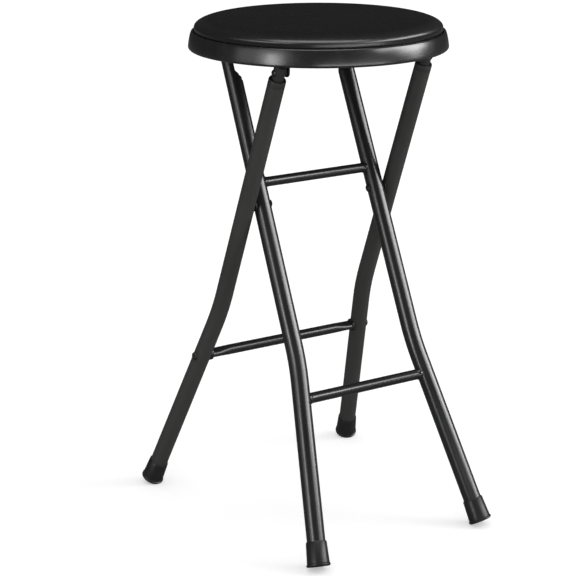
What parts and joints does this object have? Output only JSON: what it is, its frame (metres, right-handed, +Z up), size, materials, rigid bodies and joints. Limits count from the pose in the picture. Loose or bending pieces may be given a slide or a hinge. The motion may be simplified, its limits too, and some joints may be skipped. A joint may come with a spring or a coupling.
{
  "type": "folding bar stool",
  "caption": "Round padded folding stool on two crossed, splayed tube frames, with a hinged seat that lifts off its latch bar to fold flat.",
  "frame": {"origin": "on the floor, under the middle of the stool's footprint", "axes": "+Z up; +X along the crossbars and the hinge axes; +Y towards the side where the outer frame's feet stand and the latch bar lies"},
  "size_m": [0.332, 0.3692, 0.612],
  "materials": {
    "outer_frame_paint": "satin black powder coat",
    "inner_frame_paint": "gloss black powder coat",
    "rivet_steel": "black coated steel",
    "zinc_steel": "zinc plated",
    "pan_plastic": "gloss black moulded plastic",
    "satin_plastic": "satin black moulded plastic",
    "rubber": "moulded black rubber",
    "vinyl": "black vinyl with fine grain",
    "foam": "open cell foam",
    "plywood": "raw plywood"
  },
  "bodies": {
    "outer_frame": {"outer_leg_left": "outer_frame_paint", "outer_leg_right": "outer_frame_paint", "hinge_plug_left": "satin_plastic", "hinge_plug_right": "satin_plastic", "hinge_rivet_left": "rivet_steel", "hinge_rivet_right": "rivet_steel", "outer_foot_left": "rubber", "outer_foot_right": "rubber", "pivot_rivet_left": "rivet_steel", "pivot_rivet_right": "rivet_steel", "pivot_spacer_left": "satin_plastic", "pivot_spacer_right": "satin_plastic", "crossbar_rivet_left": "rivet_steel", "crossbar_rivet_right": "rivet_steel", "outer_crossbar": "inner_frame_paint"},
    "inner_frame": {"inner_leg_left": "inner_frame_paint", "inner_leg_right": "inner_frame_paint", "inner_foot_left": "rubber", "inner_foot_right": "rubber", "latch_bolt_left": "rivet_steel", "latch_bolt_right": "rivet_steel", "upper_crossbar": "inner_frame_paint", "lower_crossbar": "inner_frame_paint", "latch_bar": "inner_frame_paint"},
    "seat": {"seat_pan": "pan_plastic", "seat_board": "plywood", "seat_foam": "foam", "seat_cover": "vinyl", "hinge_bracket_left": "rivet_steel", "hinge_bracket_right": "rivet_steel", "latch_catch_left": "satin_plastic", "latch_catch_right": "satin_plastic", "bracket_screw_left_front": "zinc_steel", "bracket_screw_left_rear": "zinc_steel", "bracket_screw_right_front": "zinc_steel", "bracket_screw_right_rear": "zinc_steel", "catch_screw_left_front": "zinc_steel", "catch_screw_left_rear": "zinc_steel", "catch_screw_right_front": "zinc_steel", "catch_screw_right_rear": "zinc_steel"}
  },
  "joints": [
    {"name": "leg_fold", "type": "hinge", "parent": "outer_frame", "child": "inner_frame", "pos_m": [0, 0.00623, 0.3844], "axis": [1, 0, 0], "range_deg": [0, 42]},
    {"name": "seat_fold", "type": "hinge", "parent": "outer_frame", "child": "seat", "pos_m": [0, -0.07136, 0.562], "axis": [1, 0, 0], "range_deg": [0, 113.4]}
  ],
  "couplings": [
    {"joint": "seat_fold", "follows": "leg_fold", "ratio": 2.7}
  ]
}
